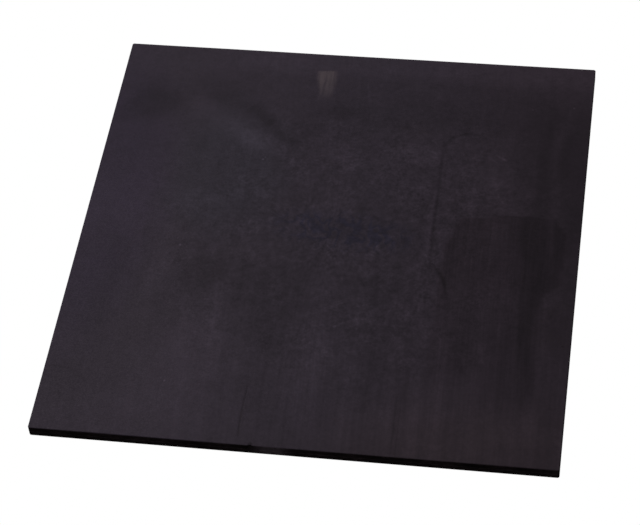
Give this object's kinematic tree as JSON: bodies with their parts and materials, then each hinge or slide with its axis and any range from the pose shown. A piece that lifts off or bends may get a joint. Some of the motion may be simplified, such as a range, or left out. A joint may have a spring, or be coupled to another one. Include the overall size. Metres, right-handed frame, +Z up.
{
  "type": "seedling heat mat",
  "caption": "Square black rubber heating mat for seed trays: sealed flat slab with a heating wire inside and a power inlet in its rear edge.",
  "frame": {"origin": "middle of the mat's underside, on the surface that it lies on", "axes": "+X along the 508 mm width, +Y along the 527 mm depth towards the edge with the power inlet, +Z up out of the heated face"},
  "size_m": [0.508, 0.527, 0.0125],
  "materials": {
    "rubber_top": "matte",
    "rubber_bottom": "matte",
    "butyl_bead": "satin",
    "felt": "matte",
    "aluminium_foil": "polished",
    "glass_scrim": "matte",
    "silicone_wire": "satin",
    "scrim_tape": "matte",
    "spreader_foil": "satin",
    "box_base_plastic": "matte",
    "box_lid_plastic": "matte",
    "zinc_screw": "satin",
    "inlet_plastic": "satin",
    "gasket_rubber": "matte",
    "nickel_pin": "polished",
    "tinned_brass": "satin",
    "heat_shrink": "satin",
    "lead_brown": "satin",
    "lead_black": "satin",
    "lead_blue": "satin",
    "steel_can": "satin",
    "phenolic": "satin",
    "epoxy": "gloss",
    "contact_brass": "satin",
    "bimetal": "satin"
  },
  "bodies": {
    "mat": {"top_cover": "rubber_top", "bottom_cover": "rubber_bottom", "edge_seal": "butyl_bead", "insulation_felt": "felt", "reflector_foil": "aluminium_foil", "wire_scrim": "glass_scrim", "heating_wire": "silicone_wire", "scrim_tape_1": "scrim_tape", "scrim_tape_2": "scrim_tape", "scrim_tape_3": "scrim_tape", "scrim_tape_4": "scrim_tape", "scrim_tape_5": "scrim_tape", "heat_spreader": "spreader_foil", "terminal_box_base": "box_base_plastic", "terminal_box_lid": "box_lid_plastic", "terminal_box_screw_1": "zinc_screw", "terminal_box_screw_2": "zinc_screw", "terminal_box_screw_3": "zinc_screw", "terminal_box_screw_4": "zinc_screw", "inlet_shell": "inlet_plastic", "inlet_gasket": "gasket_rubber", "inlet_pin_line": "nickel_pin", "inlet_pin_neutral": "nickel_pin", "receptacle_line": "tinned_brass", "receptacle_neutral": "tinned_brass", "splice_start": "tinned_brass", "splice_end": "tinned_brass", "splice_sleeve_start": "heat_shrink", "splice_sleeve_end": "heat_shrink", "lead_line": "lead_brown", "lead_return": "lead_black", "lead_neutral": "lead_blue", "cutout_case": "steel_can", "cutout_insulator": "phenolic", "cutout_epoxy": "epoxy", "fixed_contact_arm": "contact_brass", "moving_terminal": "contact_brass"},
    "bimetal": {"bimetal_arm": "bimetal"}
  },
  "joints": [
    {"name": "cutout_blade", "type": "hinge", "parent": "mat", "child": "bimetal", "pos_m": [-0.0326, 0.1902, 0.0076], "axis": [-1, 0, 0], "range_deg": [0, 3], "stiffness_Nm_per_rad": 0.02, "springref_deg": -5.73}
  ]
}
